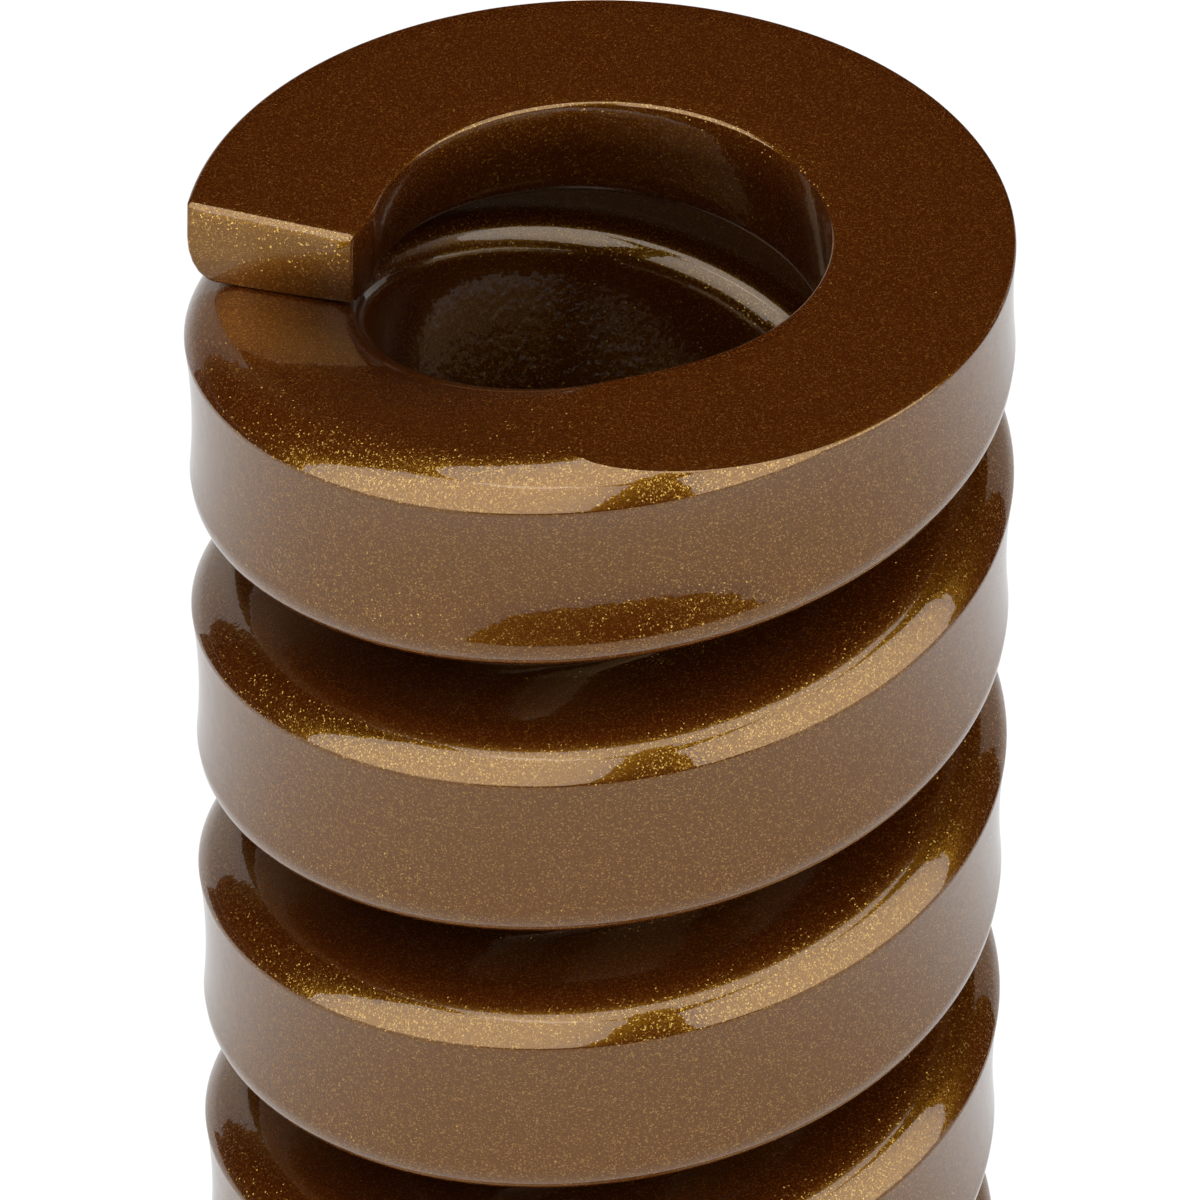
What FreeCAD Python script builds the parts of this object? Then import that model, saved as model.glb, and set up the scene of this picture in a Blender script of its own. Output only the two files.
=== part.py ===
import FreeCAD, Part
import math
import os

from FreeCAD import Vector

# Heavy die spring: one bar of shaped wire coiled round an empty bore, closed and
# ground flat at both ends. Sizes are in millimetres and degrees.
# The origin is the middle of the lower ground face, +Z runs up the spring's axis,
# and the front of the spring looks along -Y.

# The whole spring
free_length = 115.0
pitch = 15.2
bore_radius = 10.4
outer_radius = 18.9

# Section of the wire, on any half-plane through the axis
wire_height = 10.6
shoulder_width = 1.4
shoulder_drop = 1.5
waist_depth = 0.42
heel_setback = 0.2
heel_width = 1.35
heel_rise = 1.7
inner_top_radius = 1.25
inner_bottom_radius = 0.8

# How each end closes on to its neighbour, as turns of the wire counted from its tip
tip_azimuth = 176.4
tip_thickness = 3.7
tip_clearance = 0.08
seat_turn = 16.0
closed_turn = 90.0
opening_turn = 150.0

# The cut that ends the wire
tip_skew = 15.8
tip_relief_turn = 6.6
tip_relief_depth = 0.73

# How finely the wire is drawn
section_step = 20.0
flat_strips = 2
shoulder_strips = 3
face_strips = 2
heel_strips = 2
bore_overlap = 0.2
past_tip_turn = 14.0
margin = 2.0

# What follows from the sizes above
coil_gap = pitch - wire_height
closed_up = coil_gap - tip_clearance
tip_overhang = wire_height / 2 - tip_thickness
wire_turn = 360 * (free_length + 2 * tip_overhang + 2 * closed_up) / pitch
wire_middle = (bore_radius + outer_radius) / 2
reach = outer_radius + margin


def share_closed(turn):
    """Share of the coil gap that the wire has lost between its tip and a place further on."""
    seat = min(max(turn, 0), seat_turn)
    closed = min(max(turn - seat_turn, 0), closed_turn)
    opening = min(max(turn - seat_turn - closed_turn, 0), opening_turn)
    lost = seat ** 2 / (2 * seat_turn) + closed + opening - opening ** 2 / (2 * opening_turn)
    return lost / (seat_turn / 2 + closed_turn + opening_turn / 2)


def height(turn):
    """Height of the middle of the wire, a turn in degrees up from its lower tip."""
    lost = share_closed(turn) + 1 - share_closed(wire_turn - turn)
    return pitch * turn / 360 - closed_up * lost - tip_overhang


def place(turn, radius, above_middle):
    """A point of the wire at a turn, a radius and a height above the wire's middle."""
    azimuth = math.radians(tip_azimuth + turn - wire_turn)
    return Vector(radius * math.cos(azimuth), radius * math.sin(azimuth), height(turn) + above_middle)


def rounding(radius, above, width, drop, start, end, strips):
    """Points along part of an ellipse round a centre in the section, from start to end degrees."""
    angles = [math.radians(start + (end - start) * step / strips) for step in range(strips + 1)]
    return [(radius + width * math.cos(angle), above + drop * math.sin(angle)) for angle in angles]


def flat(start, end, above):
    """Points across the wire's flat top or underside, without its two ends."""
    return [(start + (end - start) * step / flat_strips, above) for step in range(1, flat_strips)]


def outer_face():
    """Points down the shallow hollow between the shoulder and the heel, without its two ends."""
    points = []
    for step in range(1, face_strips):
        share = step / face_strips
        hollow = 4 * waist_depth * share * (1 - share)
        drop = shoulder_drop + (wire_height - heel_rise - shoulder_drop) * share
        points.append((outer_radius - heel_setback * share - hollow, wire_height / 2 - drop))
    return points


def wire_outline():
    """The wire's section as (radius, height above the middle), a little past the bore's wall."""
    top = wire_height / 2
    bottom = -wire_height / 2
    inside = bore_radius - bore_overlap
    crest = bore_radius + inner_top_radius
    corner = bore_radius + inner_bottom_radius
    shoulder = outer_radius - shoulder_width
    heel = outer_radius - heel_setback - heel_width
    points = rounding(crest, top - inner_top_radius, inner_top_radius, inner_top_radius, 135, 90, 1)
    points += flat(crest, shoulder, top)
    points += rounding(shoulder, top - shoulder_drop, shoulder_width, shoulder_drop, 90, 0, shoulder_strips)
    points += outer_face()
    points += rounding(heel, bottom + heel_rise, heel_width, heel_rise, 0, -90, heel_strips)
    points += flat(heel, corner, bottom)
    points.append((corner, bottom))
    points.append((inside, bottom + inner_bottom_radius))
    points.append((inside, top - inner_top_radius))
    return points


def coil(outline, start, end):
    """A solid that carries an outline up the wire's path from one turn to another."""
    steps = math.ceil((end - start) / section_step)
    sections = []
    for step in range(steps + 1):
        turn = start + (end - start) * step / steps
        corners = [place(turn, radius, above) for radius, above in outline]
        sections.append(Part.makePolygon(corners + corners[:1]))
    return Part.makeLoft(sections, True, False, False, 3)


def turned_over(shape):
    """The same shape at the lower end: half a turn about a level axis through the middle."""
    between_tips = math.radians(tip_azimuth - wire_turn / 2)
    axis = Vector(math.cos(between_tips), math.sin(between_tips), 0)
    copy = shape.copy()
    copy.rotate(Vector(0, 0, free_length / 2), axis, 180)
    return copy


def upright(corners, azimuth):
    """A tall prism on corners given as (outward, onward) from the axis at an azimuth."""
    turn = math.radians(azimuth)
    outward = Vector(math.cos(turn), math.sin(turn), 0)
    onward = Vector(-math.sin(turn), math.cos(turn), 0)
    base = Vector(0, 0, free_length - pitch)
    points = [base + outward * out + onward * on for out, on in corners]
    return Part.Face(Part.makePolygon(points + points[:1])).extrude(Vector(0, 0, 2 * pitch))


def beyond_tip():
    """Plan of what the skewed end cut takes off: all that lies past the wire's tip."""
    skew = math.radians(tip_skew)
    along = (math.cos(skew) * reach, -math.sin(skew) * reach)
    past = (math.sin(skew) * reach, math.cos(skew) * reach)
    outer = (wire_middle + along[0], along[1])
    inner = (wire_middle - along[0] / 2, -along[1] / 2)
    far = [(inner[0] + past[0], inner[1] + past[1]), (outer[0] + past[0], outer[1] + past[1])]
    return upright([outer, inner] + far, tip_azimuth)


def inside_tip():
    """Plan of the flat that eases the bore's edge just before the tip."""
    back = math.radians(tip_relief_turn)
    start = (bore_radius * math.cos(back), -bore_radius * math.sin(back))
    half_chord = (wire_middle - bore_radius) * math.tan(math.radians(tip_skew))
    end = (bore_radius + tip_relief_depth, half_chord)
    run = (end[0] - start[0], end[1] - start[1])
    before = (start[0] - run[0] / 2, start[1] - run[1] / 2)
    after = (end[0] + run[0], end[1] + run[1])
    return upright([before, after, (after[0] - margin, after[1]), (before[0] - margin, before[1])],
                   tip_azimuth)


def clear_of_neighbour(first, last, lowest, highest):
    """The room that an end coil has to itself, between two turns and two heights."""
    outline = [(margin, highest), (reach, highest), (reach, lowest), (margin, lowest)]
    return coil(outline, first, last)


def coil_spring():
    """The finished spring."""
    beside_tip = past_tip_turn + section_step
    split = wire_height / 2 + tip_clearance / 2
    wire = coil(wire_outline(), -past_tip_turn, wire_turn + past_tip_turn)
    upper_room = clear_of_neighbour(wire_turn - beside_tip, wire_turn + beside_tip, -split, pitch)
    lower_room = clear_of_neighbour(-beside_tip, beside_tip, -pitch, split)
    waste = beyond_tip().fuse(inside_tip())
    bore = Part.makeCylinder(bore_radius, free_length + 2 * pitch, Vector(0, 0, -pitch))
    block = Part.makeBox(2 * reach, 2 * reach, pitch, Vector(-reach, -reach, 0))
    above = block.translated(Vector(0, 0, free_length))
    below = block.translated(Vector(0, 0, -pitch))
    wire = wire.cut(bore)
    wire = wire.cut(upper_room.common(waste))
    wire = wire.cut(lower_room.common(turned_over(waste)))
    wire = wire.cut(above)
    return wire.cut(below)


os.makedirs("parts", exist_ok=True)
spring = coil_spring()
spring.exportStep("parts/coil_spring.step")
print("coil_spring volume", round(spring.Volume, 1), "solids", len(spring.Solids), "faces", len(spring.Faces))
print("turns of wire", round(wire_turn / 360, 3), "valid", spring.isValid())
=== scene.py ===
# %% [markdown]
# # A die spring in metallic brown paint
#
# A die spring is one bar of shaped steel wire, wound round an empty bore, closed and
# ground flat at both ends and then painted. The colour says how strong it is. The scene
# has one main piece, the painted wire, which takes the place of the plain solid that
# holds its size, collision and mass.
#
# The frame comes first. It fixes the place and the size of everything that follows.

# %% Load the frame and keep its size
import math

import bpy
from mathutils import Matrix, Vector


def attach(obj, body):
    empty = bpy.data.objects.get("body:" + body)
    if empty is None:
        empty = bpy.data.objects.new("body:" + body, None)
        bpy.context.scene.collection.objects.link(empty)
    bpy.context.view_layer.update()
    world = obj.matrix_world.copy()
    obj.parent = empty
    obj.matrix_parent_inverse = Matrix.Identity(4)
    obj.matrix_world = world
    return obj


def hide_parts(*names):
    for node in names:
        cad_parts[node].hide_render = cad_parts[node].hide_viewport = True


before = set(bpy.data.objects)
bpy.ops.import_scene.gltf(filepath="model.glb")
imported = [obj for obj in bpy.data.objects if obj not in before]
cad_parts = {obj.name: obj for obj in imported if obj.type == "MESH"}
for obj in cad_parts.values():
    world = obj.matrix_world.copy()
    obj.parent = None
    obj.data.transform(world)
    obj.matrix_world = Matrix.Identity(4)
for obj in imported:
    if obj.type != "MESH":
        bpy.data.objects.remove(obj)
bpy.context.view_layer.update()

# %% [markdown]
# ## The sizes of the spring
#
# A spring maker draws one section of the wire and one law for how it climbs. The main
# sizes and the law are the solid's, in millimetres and degrees. The section is drawn a
# little more closely than the solid's: a wide soft shoulder on its upper outer edge with
# a faint crease below it, a shallow hollow down its outer face and a rounded heel. Toward
# each tip the coils close up, until the last stretch of wire lies on its neighbour.
#
# Each size becomes a named input of the node tree, so one number can be changed and the
# whole wire follows.

# %% Sizes in millimetres and degrees
SIZES = {
    "Free length": 115.0,
    "Pitch": 15.2,
    "Bore radius": 10.4,
    "Outer radius": 18.9,
    "Wire height": 10.6,
    "Shoulder width": 2.6,
    "Shoulder drop": 1.6,
    "Crease sine": 0.3,
    "Waist depth": 0.2,
    "Foot hollow": 0.35,
    "Heel setback": 0.1,
    "Heel width": 1.25,
    "Heel rise": 1.6,
    "Extra heel rise at a tip": 0.5,
    "Inner top radius": 1.6,
    "Inner bottom radius": 0.8,
    "Tip azimuth": 176.4,
    "Tip thickness": 3.7,
    "Tip clearance": 0.08,
    "Seat turn": 16.0,
    "Closed turn": 90.0,
    "Opening turn": 150.0,
    "Tip skew": 15.8,
    "Tip foot": 0.3,
    "Tip lean": 0.45,
    "Relief line distance": 10.179,
    "Relief line turn": 18.43,
    "Edge radius": 0.16,
}
print(len(SIZES), "sizes drive the wire")

# %% [markdown]
# ## Arithmetic for a node tree
#
# Geometry Nodes can place every point of the wire by rule, but a rule with a hundred
# Math nodes is hard to read when each node takes three lines of script. So a number in
# the tree is wrapped in a small class: adding or multiplying two of them adds the Math
# node and its links, and the rule below reads like the formula on the maker's drawing.

# %% A number inside the tree
wire_tree = bpy.data.node_groups.new("wound wire", "GeometryNodeTree")


def add_node(tree, kind, **settings):
    """A new node with its settings."""
    node = tree.nodes.new(kind)
    for name, value in settings.items():
        setattr(node, name, value)
    return node


def join(tree, value, socket):
    """Feeds a socket from a number in the tree, another socket or a plain value."""
    if isinstance(value, Number):
        value = value.socket
    if isinstance(value, bpy.types.NodeSocket):
        tree.links.new(value, socket)
    else:
        socket.default_value = value


def maths(operation, *terms):
    """The result of one Math node."""
    node = add_node(wire_tree, "ShaderNodeMath", operation=operation)
    for term, socket in zip(terms, node.inputs):
        join(wire_tree, term, socket)
    return Number(node.outputs[0])


class Number:
    """A number that flows through the wire's tree."""

    def __init__(self, socket):
        self.socket = socket

    def __add__(self, other):
        return maths("ADD", self, other)

    def __radd__(self, other):
        return maths("ADD", other, self)

    def __sub__(self, other):
        return maths("SUBTRACT", self, other)

    def __rsub__(self, other):
        return maths("SUBTRACT", other, self)

    def __mul__(self, other):
        return maths("MULTIPLY", self, other)

    def __rmul__(self, other):
        return maths("MULTIPLY", other, self)

    def __truediv__(self, other):
        return maths("DIVIDE", self, other)

    def __rtruediv__(self, other):
        return maths("DIVIDE", other, self)


def between(value, lowest, highest):
    """The value, held between two limits."""
    return maths("MAXIMUM", maths("MINIMUM", value, highest), lowest)


def round_off(share):
    """How far a quarter circle of radius 1 has fallen away at a share of its width."""
    return 1 - maths("SQRT", 1 - share * share)


# %% Named inputs for the sizes
group_in = add_node(wire_tree, "NodeGroupInput")
size = {}
for name, value in SIZES.items():
    socket = wire_tree.interface.new_socket(name, in_out="INPUT", socket_type="NodeSocketFloat")
    socket.default_value = value
wire_tree.interface.new_socket("Paint", in_out="INPUT", socket_type="NodeSocketMaterial")
wire_tree.interface.new_socket("Wire", in_out="OUTPUT", socket_type="NodeSocketGeometry")
for name in SIZES:
    size[name] = Number(group_in.outputs[name])
print("inputs of the tree:", ", ".join(size))

# %% [markdown]
# ## How the wire climbs
#
# Away from the ends a turn of wire climbs one pitch. At a tip it lies parallel to the
# next coil, a hair above it, and then it climbs faster than the tip's own coil until the
# full gap is open. The law counts turns from the tip in degrees, so the same law serves
# both ends.

# %% The height of the middle of the wire
half_height = size["Wire height"] / 2
closed_up = size["Pitch"] - size["Wire height"] - size["Tip clearance"]
tip_overhang = half_height - size["Tip thickness"]
wire_turn = 360 * (size["Free length"] + 2 * tip_overhang + 2 * closed_up) / size["Pitch"]
wire_middle = (size["Bore radius"] + size["Outer radius"]) / 2


def share_closed(turn):
    """Share of the coil gap that is lost between a tip and a place further on."""
    seat = between(turn, 0, size["Seat turn"])
    closed = between(turn - size["Seat turn"], 0, size["Closed turn"])
    opening = between(turn - size["Seat turn"] - size["Closed turn"], 0, size["Opening turn"])
    lost = seat * seat / (2 * size["Seat turn"]) + closed
    lost = lost + opening - opening * opening / (2 * size["Opening turn"])
    return lost / (size["Seat turn"] / 2 + size["Closed turn"] + size["Opening turn"] / 2)


def height(turn):
    """Height of the wire's middle, a turn in degrees up from the lower tip."""
    lost = share_closed(turn) + 1 - share_closed(wire_turn - turn)
    return size["Pitch"] * turn / 360 - closed_up * lost - tip_overhang


# %% [markdown]
# ## The section of the wire
#
# The section has eight stretches: up the outer side, round the paint's edge, across the
# top, round the inner edge, down the bore's wall, and the same again below. Where the
# end is ground, a level plane cuts the section lower, and the stretches shrink with it,
# so the rows of the mesh always follow the ground edge. A cut by booleans would leave
# slivers there, and the gloss of the paint would show each one.
#
# The rows of the shoulder stand closer toward its crease, so that the mirror images break
# along a clean line there. Paint pulls back from a sharp edge and leaves it round, so
# each ground edge has a small radius of its own.

# %% The two sides of the section
OUTER_ROWS = (5, 10, 9)
INNER_ROWS = (3, 4, 6)
ROW_CROWDING = 1.4
QUARTER = math.pi / 2


class Side:
    """One side of the section: a rounding below, a face and a rounding above."""

    def __init__(self, outward, low, high, corner, radius, rows):
        self.outward, self.low, self.high, self.radius = outward, low, high, radius
        self.corner, self.rows = corner, rows
        self.low_line, self.high_line = low - half_height, half_height - high
        self.face = self.high_line - self.low_line

    def sine(self, above):
        """Sine of how far the upper rounding faces up at a height."""
        share = between((above - self.high_line) / self.high, 0, 1)
        return self.corner + (1 - self.corner) * share

    def above(self, low_cut, high_cut, row):
        """Height of a row between two cuts. Each bend has rows of its own, so it stays crisp."""
        heel_rows, face_rows, top_rows = self.rows
        angles = [maths("ARCCOSINE", between((self.low_line - cut) / self.low, 0, 1))
                  for cut in (low_cut, high_cut)]
        angle = angles[0] + (angles[1] - angles[0]) * between(row / heel_rows, 0, 1)
        heel = self.low_line - self.low * maths("COSINE", angle)
        foot = maths("MINIMUM", maths("MAXIMUM", heel, low_cut), high_cut)
        face_ends = [maths("MINIMUM", maths("MAXIMUM", cut, self.low_line), self.high_line)
                     for cut in (low_cut, high_cut)]
        face_share = between((row - heel_rows) / face_rows, 0, 1) * math.pi
        face = (face_ends[1] - face_ends[0]) * (1 - maths("COSINE", face_share)) / 2
        start = maths("ARCSINE", self.corner)
        end = maths("ARCSINE", self.sine(high_cut))
        top_row = between((row - heel_rows - face_rows) / top_rows, 0, 1)
        top_share = maths("POWER", top_row, ROW_CROWDING)
        rise = maths("SINE", start + (end - start) * top_share) - self.corner
        return foot + face + self.high * rise / (1 - self.corner)


# %% How far out the outer side is
def outer_radius(side, above):
    """Radius of the outer side at a height: shoulder, shallow hollow and heel."""
    down = between((side.high_line - above) / side.face, 0, 1)
    hollow = 4 * waist * down * (1 - down)
    reach = maths("SQRT", 1 - side.corner * side.corner)
    shoulder = 1 - (1 - round_off(side.sine(above))) / reach
    heel = round_off(between((side.low_line - above) / side.low, 0, 1))
    radius = size["Outer radius"] - size["Heel setback"] * plain_face * down - hollow
    return radius - size["Shoulder width"] * shoulder - size["Heel width"] * heel


# %% How far out the bore's wall is, with a flat beside each tip
WIDEST_SWING = 60


def relief(turn_from_tip):
    """Radius of the flat that eases the bore's edge close to a tip."""
    swing = between(size["Relief line turn"] - turn_from_tip, 0, WIDEST_SWING)
    return size["Relief line distance"] / maths("COSINE", swing * math.pi / 180)


def inner_radius(side, above):
    """Radius of the bore's wall at a height, with its rounded edges and the tips' flats."""
    top = round_off(between((above - side.high_line) / side.high, 0, 1))
    bottom = round_off(between((side.low_line - above) / side.low, 0, 1))
    return maths("MAXIMUM", size["Bore radius"] + side.high * top + side.low * bottom, flats)


# %% The paint's edge, where a level cut meets a side
class Edge:
    """The round edge that the paint leaves between a side and a level cut."""

    def __init__(self, side, cut, upward):
        line, rounding = (side.high_line, side.high) if upward > 0 else (side.low_line, side.low)
        lean = between(upward * (cut - line) / rounding, 0, 1)
        touch = cut - upward * size["Edge radius"] * (1 - lean)
        lean = between(upward * (touch - line) / rounding, 0, 1)
        if upward > 0:
            lean = lean + side.corner * (1 - lean) * maths("GREATER_THAN", lean, 0)
        self.touch = cut - upward * size["Edge radius"] * (1 - lean)
        self.start = maths("ARCSINE", lean)
        self.side, self.cut, self.upward = side, cut, upward
        out = side.outward * size["Edge radius"] * maths("COSINE", self.start)
        self.end_radius = side.radius(side, self.touch) - out

    def point(self, share):
        """A point round the edge, from 0 on the side to 1 on the level cut."""
        angle = self.start + (QUARTER - self.start) * share
        radius = self.end_radius + self.side.outward * size["Edge radius"] * maths("COSINE", angle)
        drop = self.upward * size["Edge radius"] * (1 - maths("SINE", angle))
        return radius, self.cut - drop


# %% [markdown]
# ## One grid becomes the whole wire
#
# The wire is a flat grid of points that is rolled up by rule. One way across the grid
# goes round the section, and the other goes along the wire. The last few columns at each
# end close the wire: they shrink round the edge of the end cut and then to its middle.
# The cut is skewed, as a blade that comes in beside the coil leaves it, and it leans back
# a little, so that its foot reaches further than its top.
#
# A section swept along a helix would be quicker, but it keeps one shape all the way, and
# this wire changes where it is ground and where it ends. So each point is placed by rule.

# %% Rows round the section and columns along the wire
STRETCHES = {"outer side": sum(OUTER_ROWS), "outer top edge": 4, "top": 7, "inner top edge": 4,
             "inner side": sum(INNER_ROWS), "inner bottom edge": 3, "bottom": 5,
             "outer bottom edge": 3}
ROWS = sum(STRETCHES.values()) + 1
COLUMNS = 1560
EDGE_COLUMNS = 4
CAP_COLUMNS = 4
SKEW_RUN = 40

grid = add_node(wire_tree, "GeometryNodeMeshGrid")
for socket, value in zip(grid.inputs, (1.0, 1.0, COLUMNS, ROWS)):
    socket.default_value = value
split = add_node(wire_tree, "ShaderNodeSeparateXYZ")
join(wire_tree, add_node(wire_tree, "GeometryNodeInputPosition").outputs[0], split.inputs[0])
column = (Number(split.outputs[0]) + 0.5) * (COLUMNS - 1)
row = (Number(split.outputs[1]) + 0.5) * (ROWS - 1)
print(ROWS, "rows round the section,", COLUMNS, "columns along the wire")

# %% [markdown]
# ## Each row finds its rule
#
# Every stretch of the section has a rule of its own. A point works out which stretch its
# row is on and how far along, and an Index Switch keeps the place that this stretch's
# rule gives. One switch is quicker to read than a chain of comparisons.

# %% Which stretch a row is on, and how far along it
row_shares, stretch_number, first_row = [], 0, 0
for count in STRETCHES.values():
    if first_row:
        stretch_number = maths("GREATER_THAN", row, first_row + 0.5) + stretch_number
    row_shares.append(between((row - first_row) / count, 0, 1))
    first_row += count


def choose(points):
    """This row's own point among one for each stretch."""
    switch = add_node(wire_tree, "GeometryNodeIndexSwitch", data_type="VECTOR")
    switch.index_switch_items.clear()
    for _ in points:
        switch.index_switch_items.new()
    join(wire_tree, stretch_number, switch.inputs[0])
    for point, socket in zip(points, switch.inputs[1:]):
        pair = add_node(wire_tree, "ShaderNodeCombineXYZ")
        join(wire_tree, point[0], pair.inputs[0])
        join(wire_tree, point[1], pair.inputs[1])
        join(wire_tree, pair.outputs[0], socket)
    parts = add_node(wire_tree, "ShaderNodeSeparateXYZ")
    join(wire_tree, switch.outputs[0], parts.inputs[0])
    return Number(parts.outputs[0]), Number(parts.outputs[1])


# %% [markdown]
# ## The ends of the wire
#
# Over the last stretch before a tip the columns lean over little by little, until the
# last one lies in the plane of the cut. So the mesh ends exactly there and nothing has to
# be cut afterwards. Four more columns go round the paint's edge, and four close the face.

# %% The skewed cut, its round edge and its closing columns
TO_DEGREES = 180 / math.pi
skew = size["Tip skew"] / TO_DEGREES


def cut_turn(radius):
    """Degrees past the tip at which the skewed plane of the cut lies, at a radius."""
    return (maths("ARCSINE", wire_middle * maths("SINE", skew) / radius) - skew) * TO_DEGREES


def tip_columns(steps_from_end):
    """How far an end column is round the cut's edge, and then how far toward its middle."""
    edge = between((CAP_COLUMNS + EDGE_COLUMNS - steps_from_end) / EDGE_COLUMNS, 0, 1)
    return edge, between((CAP_COLUMNS - steps_from_end) / CAP_COLUMNS, 0, 1)


end_columns = CAP_COLUMNS + EDGE_COLUMNS
along = between((column - end_columns) / (COLUMNS - 1 - 2 * end_columns), 0, 1)
level_turn = wire_turn * along
upper_edge, upper_cap = tip_columns(COLUMNS - 1 - column)
lower_edge, lower_cap = tip_columns(column)
edge_angle = (upper_edge + lower_edge) * QUARTER
shrink = size["Edge radius"] * (1 - maths("COSINE", edge_angle))
closing = 1 - upper_cap - lower_cap
upper_lean = between(1 - (wire_turn - level_turn) / SKEW_RUN, 0, 1)
lower_lean = between(1 - level_turn / SKEW_RUN, 0, 1)
lean_share = upper_lean * upper_lean - lower_lean * lower_lean
set_back = size["Edge radius"] * (1 - maths("SINE", edge_angle)) * TO_DEGREES


def leaned(radius):
    """The level turn, leaned over toward the tips so that the last columns lie in the cuts."""
    return level_turn + (cut_turn(radius) - set_back / radius) * lean_share


def drawn_in(value, middle, half_width):
    """A radius or a height, drawn in round the cut's edge and then toward the middle."""
    return middle + (value - middle) * (1 - shrink / half_width) * closing


# %% [markdown]
# ## How the section changes toward a tip
#
# The first turn at each end is bent down on to its neighbour, and its section isn't quite
# the same as the rest. Close to a tip the outer face is plain and its heel taller, and on
# the front of the end coil the face has a hollow of its own above the heel. Each change
# is a share that grows with the turn, so the gloss shows no step.

# %% The point of the section that belongs to each point of the grid
PLAIN_TURN, FACE_TURN = 90, 180
FOOT_TURN, FOOT_SPREAD = 266, 50
wire_width = size["Outer radius"] - size["Bore radius"]
rough_radius = size["Outer radius"] - wire_width * (row_shares[2] - row_shares[6])
turn = leaned(drawn_in(rough_radius, wire_middle, wire_width / 2))
middle = height(turn)
top = maths("MINIMUM", half_height, size["Free length"] - middle)
bottom = maths("MAXIMUM", 0 - half_height, 0 - middle)
flats = maths("MAXIMUM", relief(turn), relief(wire_turn - turn))

from_tip = maths("MINIMUM", turn, wire_turn - turn)
plain_face = between((from_tip - PLAIN_TURN) / (FACE_TURN - PLAIN_TURN), 0, 1)
foot_share = between(1 - maths("ABSOLUTE", from_tip - FOOT_TURN) / FOOT_SPREAD, 0, 1)
foot_hollow = size["Foot hollow"] * foot_share * foot_share * (3 - 2 * foot_share)
waist = size["Waist depth"] * plain_face + foot_hollow
heel_rise = size["Heel rise"] + size["Extra heel rise at a tip"] * (1 - plain_face)
outer = Side(1, heel_rise, size["Shoulder drop"], size["Crease sine"], outer_radius, OUTER_ROWS)
inner = Side(-1, size["Inner bottom radius"], size["Inner top radius"], 0, inner_radius, INNER_ROWS)
outer_top, outer_bottom = Edge(outer, top, 1), Edge(outer, bottom, -1)
inner_top, inner_bottom = Edge(inner, top, 1), Edge(inner, bottom, -1)


def side_point(side, lower, upper, row_up):
    """A point on a side between its two edges, rows counted from the lower."""
    above = side.above(lower.touch, upper.touch, row_up)
    return side.radius(side, above), above


def level_point(first, last, share):
    """A point across a level cut, or the wire's flat top or underside."""
    return first.end_radius + (last.end_radius - first.end_radius) * share, first.cut


section_radius, section_above = choose([
    side_point(outer, outer_bottom, outer_top, row_shares[0] * sum(OUTER_ROWS)),
    outer_top.point(row_shares[1]),
    level_point(outer_top, inner_top, row_shares[2]),
    inner_top.point(1 - row_shares[3]),
    side_point(inner, inner_bottom, inner_top, (1 - row_shares[4]) * sum(INNER_ROWS)),
    inner_bottom.point(row_shares[5]),
    level_point(inner_bottom, outer_bottom, row_shares[6]),
    outer_bottom.point(1 - row_shares[7])])
wire_radius = drawn_in(section_radius, wire_middle, wire_width / 2)
wire_above = drawn_in(section_above, (top + bottom) / 2, (top - bottom) / 2)

# %% From turn, radius and height to a place in metres
MILLIMETRE = 0.001
share_up = (wire_above - bottom) / (top - bottom)
at_upper_tip = maths("GREATER_THAN", along, 0.5)
from_foot = share_up * at_upper_tip + (1 - share_up) * (1 - at_upper_tip)
forward = (size["Tip foot"] - size["Tip lean"] * from_foot * from_foot) * lean_share
turned = leaned(wire_radius) + forward / wire_radius * TO_DEGREES
azimuth = (size["Tip azimuth"] + turned - wire_turn) / TO_DEGREES
place = add_node(wire_tree, "ShaderNodeCombineXYZ")
join(wire_tree, wire_radius * maths("COSINE", azimuth) * MILLIMETRE, place.inputs[0])
join(wire_tree, wire_radius * maths("SINE", azimuth) * MILLIMETRE, place.inputs[1])
join(wire_tree, (middle + wire_above) * MILLIMETRE, place.inputs[2])
print(len(wire_tree.nodes), "nodes place the points of the wire")

# %% [markdown]
# ## From points to a painted piece
#
# Rolling the grid up leaves a seam along the wire and a bunch of points at the middle of
# each end cut, so points that meet are merged. A tree can't be exported, so it is run
# once and its result is kept as a plain mesh.

# %% Close the seam, smooth the shading and hand over the paint
SEAM = 0.000002


def chain(tree, geometry, *steps):
    """Runs geometry through nodes one after another, each given as a kind and its inputs."""
    for kind, inputs in steps:
        node = add_node(tree, kind)
        join(tree, geometry, node.inputs["Mesh" if "Mesh" in node.inputs else "Geometry"])
        for name, value in inputs.items():
            join(tree, value, node.inputs[name])
        geometry = node.outputs[0]
    return geometry


wire_geometry = chain(
    wire_tree, grid.outputs["Mesh"],
    ("GeometryNodeSetPosition", {"Position": place.outputs[0]}),
    ("GeometryNodeMergeByDistance", {"Distance": SEAM}),
    ("GeometryNodeSetShadeSmooth", {"Shade Smooth": True}),
    ("GeometryNodeRealizeInstances", {}),
    ("GeometryNodeSetMaterial", {"Material": group_in.outputs["Paint"]}))
join(wire_tree, wire_geometry, add_node(wire_tree, "NodeGroupOutput").inputs[0])


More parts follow.
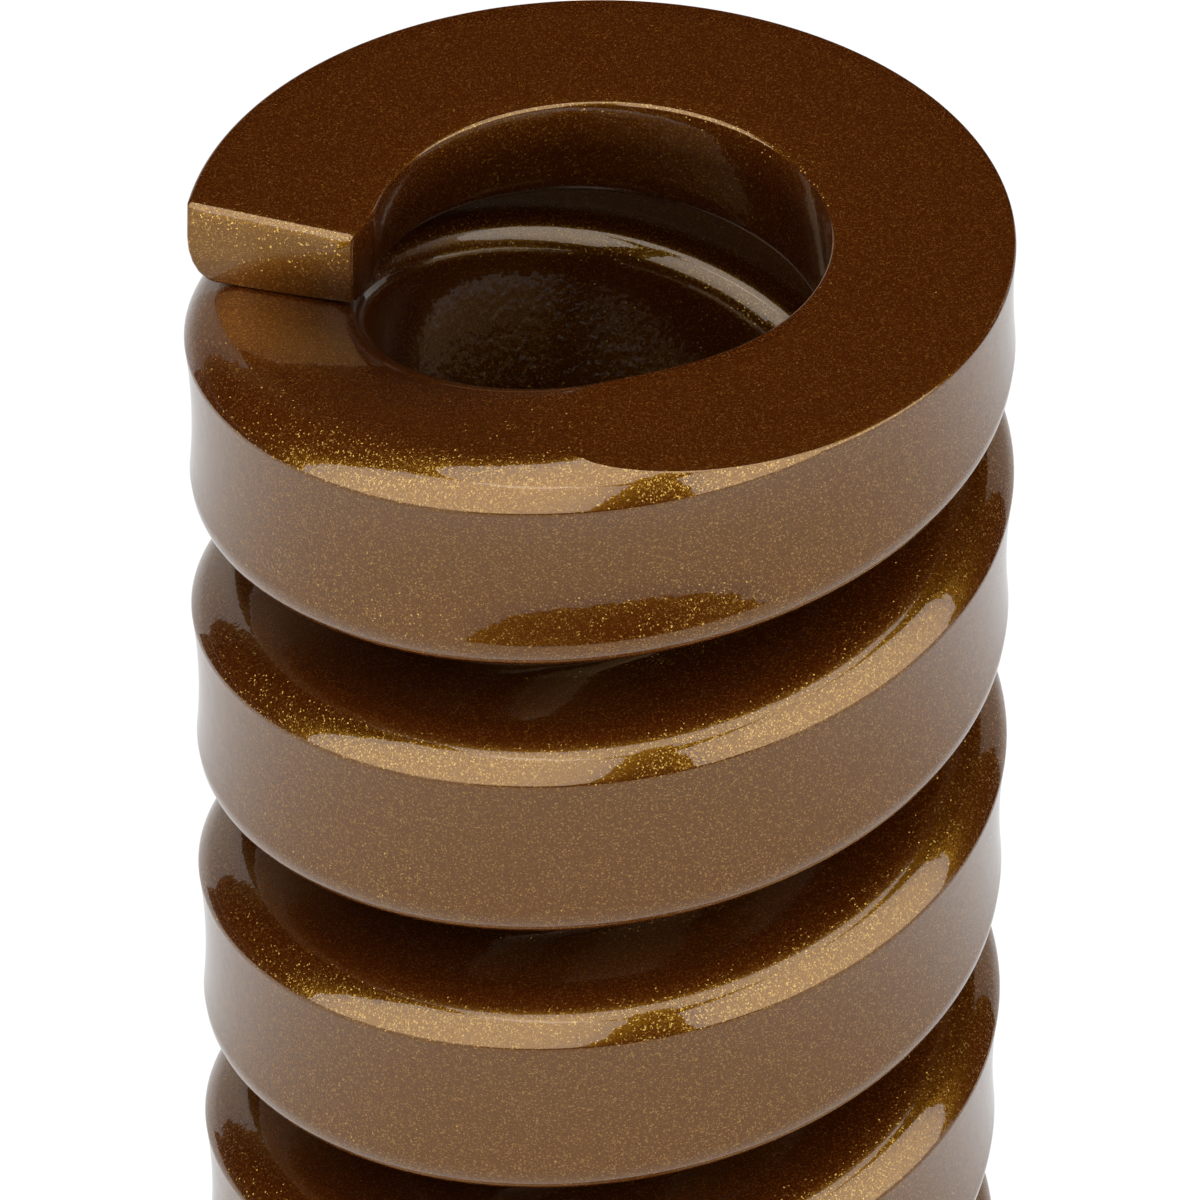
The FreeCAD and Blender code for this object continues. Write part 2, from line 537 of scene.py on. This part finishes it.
# %% Bake the tree into a plain mesh
def bake(tree, name, material, inputs):
    """Runs a tree on an empty mesh and returns a piece that holds only the result."""
    worker = bpy.data.objects.new(name + "_worker", bpy.data.meshes.new(name + "_worker"))
    bpy.context.scene.collection.objects.link(worker)
    modifier = worker.modifiers.new(name, "NODES")
    modifier.node_group = tree
    for item in tree.interface.items_tree:
        if item.name in inputs:
            modifier[item.identifier] = inputs[item.name]
        if item.name == "Paint":
            modifier[item.identifier] = material
    worker.update_tag()
    graph = bpy.context.evaluated_depsgraph_get()
    mesh = bpy.data.meshes.new_from_object(worker.evaluated_get(graph))
    bpy.data.objects.remove(worker)
    mesh.name = name
    piece = bpy.data.objects.new(name, mesh)
    bpy.context.scene.collection.objects.link(piece)
    return piece


paint = bpy.data.materials.new("metallic brown paint")
wire = bake(wire_tree, "painted_wire", paint, SIZES)
triangles = sum(len(face.vertices) - 2 for face in wire.data.polygons)
print("the painted wire has", triangles, "triangles")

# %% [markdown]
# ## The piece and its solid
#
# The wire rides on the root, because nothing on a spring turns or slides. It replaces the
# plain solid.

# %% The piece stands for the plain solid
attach(wire, "root")
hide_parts("coil_spring")

# %% [markdown]
# ## Metallic paint
#
# The paint is a thin brown colour coat with fine gold flakes in it, under a clear
# lacquer. The flakes lie nearly flat, each with a small tilt of its own, so they flash
# where a lamp is close to the mirror direction and go dark elsewhere. The lacquer mirrors
# the studio sharply on top of them.
#
# One shader holds all three. A random number at each point says whether light meets
# pigment or a flake there, which gives the even mix that the eye sees from a distance.
# Cells the size of a flake then make some places paler and tilt them, and that is the
# grain. The lacquer is the shader's coat.

# %% Helpers for materials
class Paint:
    """A material's node tree with short ways to add to it."""

    def __init__(self, material):
        material.use_nodes = True
        self.tree = material.node_tree
        self.shader = self.tree.nodes["Principled BSDF"]

    def node(self, kind, inputs=(), **settings):
        """A node with its inputs fed, given by name or by number."""
        node = add_node(self.tree, kind, **settings)
        for name, value in dict(inputs).items():
            join(self.tree, value, node.inputs[name])
        return node

    def maths(self, operation, *terms):
        """The result of one Math node."""
        return self.node("ShaderNodeMath", dict(enumerate(terms)), operation=operation).outputs[0]

    def product(self, *terms):
        """Several shares multiplied together."""
        total = terms[0]
        for term in terms[1:]:
            total = self.maths("MULTIPLY", total, term)
        return total

    def vector(self, operation, *terms):
        """The result of one Vector Math node."""
        node = self.node("ShaderNodeVectorMath", dict(enumerate(terms)), operation=operation)
        return node.outputs["Value" if operation in ("LENGTH", "DOT_PRODUCT") else "Vector"]

    def scaled(self, vector, factor):
        """A vector or a colour made stronger or weaker."""
        inputs = {0: vector, "Scale": factor}
        return self.node("ShaderNodeVectorMath", inputs, operation="SCALE").outputs[0]

    def noise(self, where, scale, detail):
        """Soft noise in space, about one wave in 1 / scale metres."""
        inputs = {"Vector": where, "Scale": scale, "Detail": detail}
        return self.node("ShaderNodeTexNoise", inputs).outputs["Fac"]

    def fade(self, value, limits, start=0.0, end=1.0):
        """Goes from start to end while a value goes from one limit to the other."""
        inputs = {"Value": value, "From Min": limits[0], "From Max": limits[1],
                  "To Min": start, "To Max": end}
        return self.node("ShaderNodeMapRange", inputs).outputs[0]

    def fall(self, value, limits):
        """1 up to the first limit and 0 beyond the second."""
        return self.fade(value, limits, 1.0, 0.0)

    def slide(self, share, start, end):
        """A number that goes from start to end with a share."""
        return self.fade(share, (0.0, 1.0), start, end)

    def blend(self, share, first, second):
        """A mix of two colours."""
        return self.node("ShaderNodeMix", {0: share, 6: first, 7: second}, data_type="RGBA").outputs[2]

    def bump(self, height, distance, **inputs):
        """A bumped normal."""
        inputs.update({"Height": height, "Distance": distance})
        return self.node("ShaderNodeBump", inputs).outputs["Normal"]


# %% Flakes or pigment, and the cells of the grain
FLAKE_SHARE = 0.5
FLAKE_SIZE = 0.000062
FLAKE_RARITY = 7.0
DULL_GOLD = (0.182, 0.090, 0.0045, 1)
PALE_GOLD = (0.490, 0.340, 0.083, 1)
DARK_PIGMENT = (0.066, 0.0130, 0.0016, 1)
PALE_PIGMENT = (0.180, 0.0560, 0.0100, 1)

lacquer = Paint(paint)
shader = lacquer.shader
here = lacquer.node("ShaderNodeTexCoord").outputs["Object"]
met = lacquer.node("ShaderNodeTexWhiteNoise", {"Vector": here}).outputs["Value"]
is_flake = lacquer.maths("GREATER_THAN", met, 1 - FLAKE_SHARE)
cells = lacquer.node("ShaderNodeTexVoronoi", {"Vector": here, "Scale": 1 / FLAKE_SIZE})
chance = lacquer.node("ShaderNodeTexWhiteNoise", {"Vector": cells.outputs["Position"]})
flash = lacquer.maths("POWER", chance.outputs["Value"], FLAKE_RARITY)
gold = lacquer.blend(flash, DULL_GOLD, PALE_GOLD)
pigment = lacquer.blend(flash, DARK_PIGMENT, PALE_PIGMENT)
print("the grain has cells of", round(FLAKE_SIZE * 1000, 3), "mm")

# %% [markdown]
# A few flakes lie askew. They catch a lamp that the others miss, and they are the single
# bright specks in the dark mirror images.

# %% The tilt of the flakes
FLAKE_TILT = 0.08
STRAY_TILT = 0.6
STRAY_RARITY = 14.0
FLAKE_ROUGHNESS = 0.235

tilt = lacquer.vector("SUBTRACT", chance.outputs["Color"], (0.5, 0.5, 0.5))
cell_tint = lacquer.node("ShaderNodeSeparateColor", {0: chance.outputs["Color"]}).outputs[0]
is_stray = lacquer.maths("POWER", cell_tint, STRAY_RARITY)
strength = lacquer.slide(is_stray, FLAKE_TILT, FLAKE_TILT + STRAY_TILT)
surface = lacquer.node("ShaderNodeNewGeometry").outputs["Normal"]
tilted = lacquer.vector("ADD", surface, lacquer.scaled(tilt, strength))
join(lacquer.tree, lacquer.vector("NORMALIZE", tilted), shader.inputs["Normal"])
join(lacquer.tree, is_flake, shader.inputs["Metallic"])
shader.inputs["Roughness"].default_value = FLAKE_ROUGHNESS
shader.inputs["Specular IOR Level"].default_value = 0.0

# %% [markdown]
# ## Painted shade and a painted highlight
#
# The colour is made darker in the bore, and the lacquer is made weaker in the bore, in the
# pockets between the coils and on the ledge below the step at the upper tip. This is painted
# shade: it darkens these places and their mirror images. On the cut at the upper tip the
# gold is made brighter, which is a painted highlight.
#
# A painted mask would need a picture, so each place is marked by rule: by how far it is
# from the axis, how high it is, or how far in front of the cut. Each pair of limits is in
# metres, and the mark fades from one to the other.

# %% Painted shade in the bore and in the pockets
RIM = 0.1125, 0.1148
BORE_SHADE_LIMITS = 0.0125, 0.0165
BORE_WALL = 0.01045, 0.0108
POCKET_START = 0.0122, 0.0130
POCKET_END = 0.0150, 0.0162

parts = lacquer.node("ShaderNodeSeparateXYZ", {0: here})
sideways, rise = parts.outputs[0], parts.outputs[2]
from_axis = lacquer.vector("LENGTH", lacquer.vector("MULTIPLY", here, (1.0, 1.0, 0.0)))
below_rim = lacquer.fall(rise, RIM)
# Painted shade: the colour is darkened in the bore, below the rim.
bore_shade = lacquer.product(lacquer.fall(from_axis, BORE_SHADE_LIMITS), below_rim)
# The bore's wall and the pockets are where the coat is weakened as painted shade; the wall also carries
# the ripples.
bore_wall = lacquer.product(lacquer.fall(from_axis, BORE_WALL), below_rim)
pocket = lacquer.product(lacquer.fade(from_axis, POCKET_START),
                         lacquer.fall(from_axis, POCKET_END), below_rim)

# %% The cut at the upper tip and the ledge below it
CUT_START = -0.00015, -0.00005
CUT_END = 0.0002, 0.0003
CUT_FOOT = 0.1112, 0.1122
CUT_SIDE = -0.0100, -0.0095
LEDGE_START = 0.0004, 0.0006
LEDGE_END = 0.006, 0.009
LEDGE_FOOT = 0.1100, 0.1110
LEDGE_SIDE = -0.0105, -0.0095

tip = math.radians(SIZES["Tip azimuth"])
facing = tip + QUARTER - math.radians(SIZES["Tip skew"])
tip_radius = (SIZES["Bore radius"] + SIZES["Outer radius"]) / 2 * MILLIMETRE
cut_middle = (math.cos(tip) * tip_radius, math.sin(tip) * tip_radius, 0.0)
cut_faces = (math.cos(facing), math.sin(facing), 0.0)
before_cut = lacquer.vector("DOT_PRODUCT", lacquer.vector("SUBTRACT", here, cut_middle), cut_faces)
# Painted highlight: a mask of the upper tip's cut, where the gold is made brighter.
cut_highlight = lacquer.product(lacquer.fade(before_cut, CUT_START), lacquer.fall(before_cut, CUT_END),
                         lacquer.fade(rise, CUT_FOOT), lacquer.fall(sideways, CUT_SIDE))
# Painted shade: a mask of the ledge below the step, where the lacquer is made weaker.
on_ledge = lacquer.product(lacquer.fade(before_cut, LEDGE_START), lacquer.fall(before_cut, LEDGE_END),
                           lacquer.fade(rise, LEDGE_FOOT), lacquer.fall(sideways, LEDGE_SIDE))
print("the cut faces", round(math.degrees(facing), 1), "degrees round from +X")

# %% Colour of the paint
CUT_HIGHLIGHT_GAIN = 1.7
BORE_SHADE_FACTOR = 0.42

# Painted highlight: the gold is made brighter on the upper tip's cut.
highlighted_gold = lacquer.scaled(gold, lacquer.slide(cut_highlight, 1.0, CUT_HIGHLIGHT_GAIN))
colour = lacquer.blend(is_flake, pigment, highlighted_gold)
# Painted shade: the colour is made darker in the bore.
shaded_colour = lacquer.scaled(colour, lacquer.slide(bore_shade, 1.0, BORE_SHADE_FACTOR))
join(lacquer.tree, shaded_colour, shader.inputs["Base Color"])

# %% [markdown]
# ## Clear lacquer
#
# On the outside the lacquer is nearly level, with only the faint waves that spray leaves.
# Deep in the bore it is rippled, like hammered metal, because the drops land there half
# dry. Both are bumps on the coat alone, so the flakes below stay as they lie. In the bore,
# in the pockets and on the ledge below the upper tip the coat is also made weaker: painted
# shade, which darkens the mirror images there.

# %% Clear lacquer
SHADED_COAT = 0.4
RIPPLES = 2800.0
RIPPLE_HEIGHT = 0.00008
RIPPLE_STRETCH = (1.0, 1.0, 0.6)
RIPPLES_END = 0.098, 0.106
RIPPLES_LEFT = 0.1
WAVES = 900.0
WAVE_HEIGHT = 0.000012

# Painted shade: a weaker coat in the bore, the pockets and on the ledge darkens the mirror images
# there.
coat_shade = lacquer.maths("MAXIMUM", lacquer.maths("MAXIMUM", bore_wall, pocket), on_ledge)
join(lacquer.tree, lacquer.slide(coat_shade, 1.0, SHADED_COAT), shader.inputs["Coat Weight"])
shader.inputs["Coat Roughness"].default_value = 0.04
shader.inputs["Coat IOR"].default_value = 1.5
rippled = lacquer.product(bore_wall, lacquer.fade(rise, RIPPLES_END, 1.0, RIPPLES_LEFT))
ripple_noise = lacquer.noise(lacquer.vector("MULTIPLY", here, RIPPLE_STRETCH), RIPPLES, 1.0)
waves = lacquer.bump(lacquer.noise(here, WAVES, 2.0), WAVE_HEIGHT)
ripples = lacquer.bump(lacquer.product(ripple_noise, rippled), RIPPLE_HEIGHT, Normal=waves)
join(lacquer.tree, ripples, shader.inputs["Coat Normal"])
print("the paint has", len(lacquer.tree.nodes), "nodes")

# %% [markdown]
# ## Floor and backdrop
#
# Gloss shows the room, so the room is built as the photograph's mirror images show it: a
# white floor, a low white backdrop behind the spring on each side, a wide softbox on each
# side of the camera, one overhead, and darkness between them. The camera and the lacquer
# see a white glow on the floor that soft light doesn't, so it is plain white round the
# spring and still keeps its shadow. A backdrop is a row of azimuths, each with the angle
# up to its top edge, both in degrees as seen from the spring.

# %% Helpers for the studio
def around(azimuth_degrees, distance, rise):
    """A point of the studio: 0 degrees is toward the camera, positive to its right."""
    angle = math.radians(azimuth_degrees)
    return (math.sin(angle) * distance, -math.cos(angle) * distance, rise)


def screen(name, material, lower, upper, hidden=True, mirrored_only=False):
    """A strip of faces between two rows of points, hidden from the camera unless told otherwise."""
    mesh = bpy.data.meshes.new(name)
    count = len(lower)
    faces = [(i, i + 1, count + i + 1, count + i) for i in range(count - 1)]
    mesh.from_pydata(lower + upper, [], faces)
    mesh.materials.append(material)
    made = bpy.data.objects.new(name, mesh)
    bpy.context.scene.collection.objects.link(made)
    made.visible_camera = not hidden
    made.visible_shadow = made.visible_diffuse = not mirrored_only


def seen_directly(tree, camera_share, mirror_share):
    """A share for rays from the camera, another for mirror images and 0 for soft light."""
    rays = add_node(tree, "ShaderNodeLightPath")
    total = 0.0
    for name, part in (("Is Camera Ray", camera_share), ("Is Glossy Ray", mirror_share),
                       ("Is Transmission Ray", mirror_share)):
        sum_up = add_node(tree, "ShaderNodeMath", operation="MULTIPLY_ADD")
        for socket, value in zip(sum_up.inputs, (rays.outputs[name], part, total)):
            join(tree, value, socket)
        total = sum_up.outputs[0]
    return total


# %% White floor and backdrop
ROOM = 3.0
EYE = 0.09
BACKDROP_DISTANCE = 2.0
BACKDROPS = {"right backdrop": {126: 33, 140: 33, 148: 0},
             "left backdrop": {189: 14, 193: 20, 200: 26, 210: 22, 220: 8, 226: 0}}
PAINTED_WHITE = (0.8, 0.8, 0.8, 1)
PURE_WHITE = (1, 1, 1, 1)
GLOW_SHARE = {"camera_share": 0.8, "mirror_share": 0.7}
GLOW_STRENGTH = {"camera_share": 1.0, "mirror_share": 0.65}

white = bpy.data.materials.new("white studio")
studio = Paint(white)
studio.shader.inputs["Base Color"].default_value = PAINTED_WHITE
studio.shader.inputs["Roughness"].default_value = 0.9
glowing = seen_directly(studio.tree, **GLOW_STRENGTH)
glow = studio.node("ShaderNodeEmission", {"Color": PURE_WHITE, "Strength": glowing})
share = seen_directly(studio.tree, **GLOW_SHARE)
mixed = studio.node("ShaderNodeMixShader", {0: share, 1: studio.shader.outputs[0], 2: glow.outputs[0]})
join(studio.tree, mixed.outputs[0], studio.tree.nodes["Material Output"].inputs["Surface"])

screen("floor", white, [(-ROOM, -ROOM, 0), (ROOM, -ROOM, 0)], [(-ROOM, ROOM, 0), (ROOM, ROOM, 0)],
       hidden=False)
for name, tops in BACKDROPS.items():
    rises = [EYE + BACKDROP_DISTANCE * math.tan(math.radians(top)) for top in tops.values()]
    screen(name, white, [around(turned, BACKDROP_DISTANCE, 0) for turned in tops],
           [around(turned, BACKDROP_DISTANCE, rise) for turned, rise in zip(tops, rises)])
print("floor and", len(BACKDROPS), "backdrops")

# %% [markdown]
# ## Dark room and black cloths
#
# The dark leaf low on the front of the end coil is the mirror image of a black cloth that
# lies on the floor, and the dark wedge in the bright band of each coil is a black card
# between the two softboxes. A curtain all round and a ceiling keep the other mirror
# images dark. The camera sees none of them, and the cloths are seen in mirror images
# only, so that the floor stays white and evenly lit.
#
# The card is a row of heights, each with the azimuths of its two edges. A cloth is given
# by its first and last azimuth, how far out it starts, and how much further out it starts
# at its two corners.

# %% Dark room
CURTAIN_DISTANCE = 2.9
CURTAIN_HEIGHT = 3.2
CURTAIN_STEP = 20
CARD_DISTANCE = 0.42
CARD_EDGES = {0.002: (-7, 18), 0.2: (-7, 13), 0.5: (-8, 8), 0.9: (-11, 4), 1.35: (-13, -3)}
CLOTH_BLACK = (0.006, 0.006, 0.006, 1)

black = bpy.data.materials.new("black cloth")
cloth = Paint(black)
cloth.shader.inputs["Base Color"].default_value = CLOTH_BLACK
cloth.shader.inputs["Specular IOR Level"].default_value = 0.0
walls = [around(turned, CURTAIN_DISTANCE, 0) for turned in range(0, 361, CURTAIN_STEP)]
raised = [(x, y, CURTAIN_HEIGHT) for x, y, _ in walls]
screen("curtain", black, walls, raised)
screen("ceiling", black, raised, [(0, 0, CURTAIN_HEIGHT)] * len(raised))
screen("gap card", black, [around(left, CARD_DISTANCE, rise) for rise, (left, _) in CARD_EDGES.items()],
       [around(right, CARD_DISTANCE, rise) for rise, (_, right) in CARD_EDGES.items()])
print("a curtain of", len(walls) - 1, "flat widths, a ceiling and a card")

# %% Black cloths on the floor
CLOTH_RISE = 0.001
CLOTH_END = 2.2
CLOTH_STEPS = 8
CLOTHS = {"front cloth": (-36, 40, 0.27, 0.10), "left cloth": (226, 272, 0.33, 0),
          "right cloth": (98, 126, 0.25, 0), "back cloth": (149, 188, 0.3, 0)}

for name, (first, last, start, bow) in CLOTHS.items():
    shares = [step / CLOTH_STEPS for step in range(CLOTH_STEPS + 1)]
    turns = [first + (last - first) * part for part in shares]
    starts = [start + bow * (2 * part - 1) ** 4 for part in shares]
    near_edge = [around(turned, near, CLOTH_RISE) for turned, near in zip(turns, starts)]
    far_edge = [around(turned, CLOTH_END, CLOTH_RISE) for turned in turns]
    screen(name, black, near_edge, far_edge, mirrored_only=True)
print(len(CLOTHS), "cloths")

# %% [markdown]
# ## Lamps
#
# The bright bands round the shoulders are the softboxes. Both stand in front of the
# spring, left and right of the camera, and lean over it, so that their mirror images
# reach round to its sides. The overhead one lights the ground face and the ring that
# shows inside the bore. All three are equally bright, so a lamp's power follows its area.

# %% Softboxes
LAMP = 2.7
SIDE_SOFTBOXES = {"left softbox": -48, "right softbox": 56}
SIDE_WIDTH = 1.4
SIDE_HEIGHT = 1.3
SIDE_DISTANCE = 0.9
LIFT = 0.33
LEAN = math.radians(15)
OVERHEAD = (-0.05, 0.02)
OVERHEAD_RISE = 1.05
OVERHEAD_WIDTH = 1.1


def softbox(name, place, aim, width, tall=None):
    """A soft lamp, round unless it has a height. The camera doesn't see it."""
    lamp = bpy.data.lights.new(name, "AREA")
    lamp.shape, lamp.size = "RECTANGLE" if tall else "DISK", width
    if tall:
        lamp.size_y = tall
    area = width * tall if tall else math.pi * width * width / 4
    lamp.energy = LAMP * math.pi * area
    holder = bpy.data.objects.new(name, lamp)
    bpy.context.scene.collection.objects.link(holder)
    holder.location = place
    holder.rotation_euler = (Vector(aim) - Vector(place)).to_track_quat("-Z", "Y").to_euler()
    holder.visible_camera = False


for name, side_turn in SIDE_SOFTBOXES.items():
    out = Vector(around(side_turn, 1, 0))
    back = out * math.cos(LEAN) + Vector((0, 0, math.sin(LEAN)))
    upward = Vector((0, 0, math.cos(LEAN))) - out * math.sin(LEAN)
    centre = Vector((0, 0, EYE)) + back * SIDE_DISTANCE + upward * LIFT
    softbox(name, centre, centre - back, SIDE_WIDTH, SIDE_HEIGHT)
softbox("overhead softbox", OVERHEAD + (OVERHEAD_RISE,), OVERHEAD + (0,), OVERHEAD_WIDTH)
print(len(SIDE_SOFTBOXES) + 1, "softboxes")

# %% [markdown]
# ## The world
#
# The camera looks through the curtain, so what it sees past the floor's edge is the
# world. That is white to it and gives no soft light, so that the lamps alone light the
# spring.

# %% World, white where it is seen and dark otherwise
world = bpy.context.scene.world or bpy.data.worlds.new("world")
bpy.context.scene.world = world
world.use_nodes = True
sky = world.node_tree.nodes["Background"]
sky.inputs["Color"].default_value = PURE_WHITE
join(world.node_tree, seen_directly(world.node_tree, 1.0, 1.0), sky.inputs["Strength"])
bpy.context.scene.view_settings.view_transform = "Standard"

# %% [markdown]
# ## The camera
#
# The photograph was taken with a long lens, looking down at 35 degrees. The camera was
# fitted to the upper ring, the bore's rim and the outlines of the coils. Its focal length
# and the middle of the ring are in pixels of a picture that is 1200 pixels wide.

# %% Camera
PICTURE = 1200
FOCAL_PIXELS = 11303.5
RING_AT = (598.9, 235.07)
SENSOR = 36
LOOKS_DOWN = math.radians(35.452)
AWAY = 0.50957

camera_data = bpy.data.cameras.new("camera")
camera_data.sensor_width = SENSOR
camera_data.lens = FOCAL_PIXELS / PICTURE * SENSOR
camera = bpy.data.objects.new("camera", camera_data)
bpy.context.scene.collection.objects.link(camera)
ring_centre = Vector((0, 0, SIZES["Free length"] * MILLIMETRE))
camera.location = ring_centre + AWAY * Vector((0, -math.cos(LOOKS_DOWN), math.sin(LOOKS_DOWN)))
look_down = LOOKS_DOWN + math.atan((PICTURE / 2 - RING_AT[1]) / FOCAL_PIXELS)
look_left = math.atan((PICTURE / 2 - RING_AT[0]) / FOCAL_PIXELS)
camera.rotation_euler = (math.pi / 2 - look_down, 0, look_left)
bpy.context.scene.camera = camera
print("the camera's lens is", round(camera_data.lens), "mm long")
